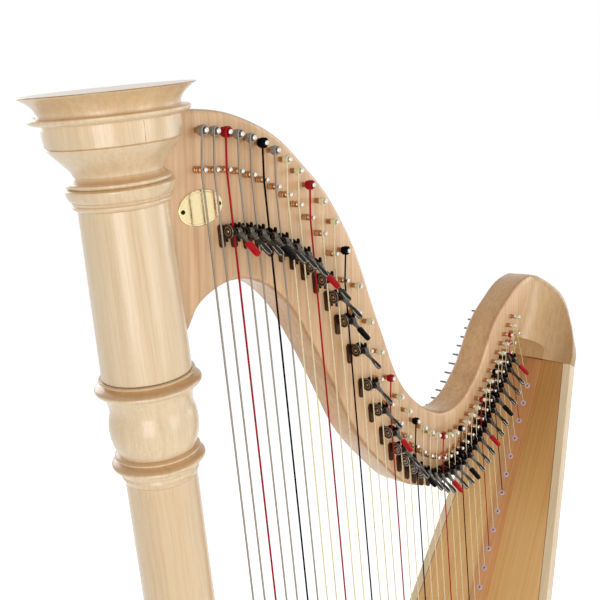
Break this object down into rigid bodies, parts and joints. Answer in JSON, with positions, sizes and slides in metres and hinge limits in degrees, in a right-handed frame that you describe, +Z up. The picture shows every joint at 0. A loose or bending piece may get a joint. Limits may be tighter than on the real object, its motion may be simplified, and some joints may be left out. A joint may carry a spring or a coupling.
{
  "type": "lever harp",
  "caption": "Floor-standing lever harp: turned column, arched neck, round-backed body with a tapering soundboard, and a hand lever that sharpens each string by a semitone.",
  "frame": {"origin": "on the floor, midway between the capital's front and the shoulder's back, in the plane of the strings", "axes": "+Z up along the column, +X from the column towards the body, +Y towards the side away from the strings and levers"},
  "size_m": [0.8268, 0.41, 1.52],
  "materials": {
    "maple": "clear satin lacquer on maple",
    "soundboard_spruce": "amber lacquer on straight-grained spruce",
    "string_strip": "reddish-brown satin veneer",
    "inner_spruce": "bare planed spruce",
    "binding": "pale lacquered wood strip",
    "strings": "clear and coloured nylon",
    "wound_strings": "fine metal winding",
    "tuning_pins": "nickel-plated steel",
    "bridge_pins": "polished steel tip on a brown body",
    "eyelets": "moulded ring",
    "lever_metal": "darkened bronze plating",
    "lever_red": "darkened metal with a red grip sleeve",
    "lever_black": "darkened metal with a black grip sleeve",
    "brass_plate": "brushed brass",
    "foot_rubber": "matt"
  },
  "bodies": {
    "frame": {"capital": "maple", "column_collar": "maple", "column_upper": "maple", "column_knop": "maple", "column_lower": "maple", "column_foot": "maple", "neck": "maple", "shoulder_block": "maple", "body_shell": "maple", "base": "maple", "soundboard": "soundboard_spruce", "strings": "strings", "inner_string_rib": "inner_spruce", "body_rib_upper": "inner_spruce", "body_rib_middle": "inner_spruce", "body_rib_lower": "inner_spruce", "foot_front_near": "foot_rubber", "foot_front_far": "foot_rubber", "foot_rear_near": "foot_rubber", "foot_rear_far": "foot_rubber", "name_plate": "brass_plate", "plate_screw_left": "brass_plate", "plate_screw_right": "brass_plate", "edge_binding": "binding"},
    "lever_03": {"lever_03": "lever_red"},
    "lever_04": {"lever_04": "lever_metal"},
    "lever_05": {"lever_05": "lever_metal"},
    "lever_06": {"lever_06": "lever_black"},
    "lever_07": {"lever_07": "lever_metal"},
    "lever_08": {"lever_08": "lever_metal"},
    "lever_09": {"lever_09": "lever_metal"},
    "lever_10": {"lever_10": "lever_red"},
    "lever_11": {"lever_11": "lever_metal"},
    "lever_12": {"lever_12": "lever_metal"},
    "lever_13": {"lever_13": "lever_black"},
    "lever_14": {"lever_14": "lever_metal"},
    "lever_15": {"lever_15": "lever_metal"},
    "lever_16": {"lever_16": "lever_metal"},
    "lever_17": {"lever_17": "lever_red"},
    "lever_18": {"lever_18": "lever_metal"},
    "lever_19": {"lever_19": "lever_metal"},
    "lever_20": {"lever_20": "lever_black"},
    "lever_21": {"lever_21": "lever_metal"},
    "lever_22": {"lever_22": "lever_metal"},
    "lever_23": {"lever_23": "lever_metal"},
    "lever_24": {"lever_24": "lever_red"},
    "lever_25": {"lever_25": "lever_metal"},
    "lever_26": {"lever_26": "lever_metal"},
    "lever_27": {"lever_27": "lever_black"},
    "lever_28": {"lever_28": "lever_metal"},
    "lever_29": {"lever_29": "lever_metal"},
    "lever_30": {"lever_30": "lever_metal"},
    "lever_31": {"lever_31": "lever_red"},
    "lever_32": {"lever_32": "lever_metal"},
    "lever_33": {"lever_33": "lever_metal"},
    "lever_34": {"lever_34": "lever_black"},
    "lever_35": {"lever_35": "lever_metal"},
    "lever_36": {"lever_36": "lever_metal"},
    "lever_37": {"lever_37": "lever_metal"},
    "lever_38": {"lever_38": "lever_red"}
  },
  "joints": [
    {"name": "lever_03_turn", "type": "hinge", "parent": "frame", "child": "lever_03", "pos_m": [-0.23912, -0.006, 1.3762], "axis": [-1, 0, 0], "range_deg": [0, 90]},
    {"name": "lever_04_turn", "type": "hinge", "parent": "frame", "child": "lever_04", "pos_m": [-0.22363, -0.006, 1.37312], "axis": [-1, 0, 0], "range_deg": [0, 90]},
    {"name": "lever_05_turn", "type": "hinge", "parent": "frame", "child": "lever_05", "pos_m": [-0.20781, -0.006, 1.36801], "axis": [-1, 0, 0], "range_deg": [0, 90]},
    {"name": "lever_06_turn", "type": "hinge", "parent": "frame", "child": "lever_06", "pos_m": [-0.19182, -0.006, 1.36133], "axis": [-1, 0, 0], "range_deg": [0, 90]},
    {"name": "lever_07_turn", "type": "hinge", "parent": "frame", "child": "lever_07", "pos_m": [-0.17606, -0.006, 1.35282], "axis": [-1, 0, 0], "range_deg": [0, 90]},
    {"name": "lever_08_turn", "type": "hinge", "parent": "frame", "child": "lever_08", "pos_m": [-0.16085, -0.006, 1.34304], "axis": [-1, 0, 0], "range_deg": [0, 90]},
    {"name": "lever_09_turn", "type": "hinge", "parent": "frame", "child": "lever_09", "pos_m": [-0.14585, -0.006, 1.33143], "axis": [-1, 0, 0], "range_deg": [0, 90]},
    {"name": "lever_10_turn", "type": "hinge", "parent": "frame", "child": "lever_10", "pos_m": [-0.13042, -0.006, 1.3161], "axis": [-1, 0, 0], "range_deg": [0, 90]},
    {"name": "lever_11_turn", "type": "hinge", "parent": "frame", "child": "lever_11", "pos_m": [-0.11374, -0.006, 1.29708], "axis": [-1, 0, 0], "range_deg": [0, 90]},
    {"name": "lever_12_turn", "type": "hinge", "parent": "frame", "child": "lever_12", "pos_m": [-0.09781, -0.006, 1.27303], "axis": [-1, 0, 0], "range_deg": [0, 90]},
    {"name": "lever_13_turn", "type": "hinge", "parent": "frame", "child": "lever_13", "pos_m": [-0.08441, -0.006, 1.24199], "axis": [-1, 0, 0], "range_deg": [0, 90]},
    {"name": "lever_14_turn", "type": "hinge", "parent": "frame", "child": "lever_14", "pos_m": [-0.06827, -0.006, 1.20257], "axis": [-1, 0, 0], "range_deg": [0, 90]},
    {"name": "lever_15_turn", "type": "hinge", "parent": "frame", "child": "lever_15", "pos_m": [-0.05288, -0.006, 1.15584], "axis": [-1, 0, 0], "range_deg": [0, 90]},
    {"name": "lever_16_turn", "type": "hinge", "parent": "frame", "child": "lever_16", "pos_m": [-0.03844, -0.006, 1.11917], "axis": [-1, 0, 0], "range_deg": [0, 90]},
    {"name": "lever_17_turn", "type": "hinge", "parent": "frame", "child": "lever_17", "pos_m": [-0.02212, -0.006, 1.08412], "axis": [-1, 0, 0], "range_deg": [0, 90]},
    {"name": "lever_18_turn", "type": "hinge", "parent": "frame", "child": "lever_18", "pos_m": [-0.00722, -0.006, 1.05707], "axis": [-1, 0, 0], "range_deg": [0, 90]},
    {"name": "lever_19_turn", "type": "hinge", "parent": "frame", "child": "lever_19", "pos_m": [0.00702, -0.006, 1.03598], "axis": [-1, 0, 0], "range_deg": [0, 90]},
    {"name": "lever_20_turn", "type": "hinge", "parent": "frame", "child": "lever_20", "pos_m": [0.0214, -0.006, 1.01946], "axis": [-1, 0, 0], "range_deg": [0, 90]},
    {"name": "lever_21_turn", "type": "hinge", "parent": "frame", "child": "lever_21", "pos_m": [0.03566, -0.006, 1.00751], "axis": [-1, 0, 0], "range_deg": [0, 90]},
    {"name": "lever_22_turn", "type": "hinge", "parent": "frame", "child": "lever_22", "pos_m": [0.04983, -0.006, 0.99821], "axis": [-1, 0, 0], "range_deg": [0, 90]},
    {"name": "lever_23_turn", "type": "hinge", "parent": "frame", "child": "lever_23", "pos_m": [0.06391, -0.006, 0.99111], "axis": [-1, 0, 0], "range_deg": [0, 90]},
    {"name": "lever_24_turn", "type": "hinge", "parent": "frame", "child": "lever_24", "pos_m": [0.07789, -0.006, 0.98678], "axis": [-1, 0, 0], "range_deg": [0, 90]},
    {"name": "lever_25_turn", "type": "hinge", "parent": "frame", "child": "lever_25", "pos_m": [0.09179, -0.006, 0.98479], "axis": [-1, 0, 0], "range_deg": [0, 90]},
    {"name": "lever_26_turn", "type": "hinge", "parent": "frame", "child": "lever_26", "pos_m": [0.10561, -0.006, 0.98471], "axis": [-1, 0, 0], "range_deg": [0, 90]},
    {"name": "lever_27_turn", "type": "hinge", "parent": "frame", "child": "lever_27", "pos_m": [0.11946, -0.006, 0.98682], "axis": [-1, 0, 0], "range_deg": [0, 90]},
    {"name": "lever_28_turn", "type": "hinge", "parent": "frame", "child": "lever_28", "pos_m": [0.1333, -0.006, 0.99121], "axis": [-1, 0, 0], "range_deg": [0, 90]},
    {"name": "lever_29_turn", "type": "hinge", "parent": "frame", "child": "lever_29", "pos_m": [0.14692, -0.006, 0.99718], "axis": [-1, 0, 0], "range_deg": [0, 90]},
    {"name": "lever_30_turn", "type": "hinge", "parent": "frame", "child": "lever_30", "pos_m": [0.16016, -0.006, 1.004], "axis": [-1, 0, 0], "range_deg": [0, 90]},
    {"name": "lever_31_turn", "type": "hinge", "parent": "frame", "child": "lever_31", "pos_m": [0.17286, -0.006, 1.0119], "axis": [-1, 0, 0], "range_deg": [0, 90]},
    {"name": "lever_32_turn", "type": "hinge", "parent": "frame", "child": "lever_32", "pos_m": [0.18512, -0.006, 1.02124], "axis": [-1, 0, 0], "range_deg": [0, 90]},
    {"name": "lever_33_turn", "type": "hinge", "parent": "frame", "child": "lever_33", "pos_m": [0.19711, -0.006, 1.0315], "axis": [-1, 0, 0], "range_deg": [0, 90]},
    {"name": "lever_34_turn", "type": "hinge", "parent": "frame", "child": "lever_34", "pos_m": [0.20899, -0.006, 1.04217], "axis": [-1, 0, 0], "range_deg": [0, 90]},
    {"name": "lever_35_turn", "type": "hinge", "parent": "frame", "child": "lever_35", "pos_m": [0.22092, -0.006, 1.05275], "axis": [-1, 0, 0], "range_deg": [0, 90]},
    {"name": "lever_36_turn", "type": "hinge", "parent": "frame", "child": "lever_36", "pos_m": [0.23288, -0.006, 1.06333], "axis": [-1, 0, 0], "range_deg": [0, 90]},
    {"name": "lever_37_turn", "type": "hinge", "parent": "frame", "child": "lever_37", "pos_m": [0.24475, -0.006, 1.07426], "axis": [-1, 0, 0], "range_deg": [0, 90]},
    {"name": "lever_38_turn", "type": "hinge", "parent": "frame", "child": "lever_38", "pos_m": [0.2566, -0.006, 1.08539], "axis": [-1, 0, 0], "range_deg": [0, 90]}
  ]
}
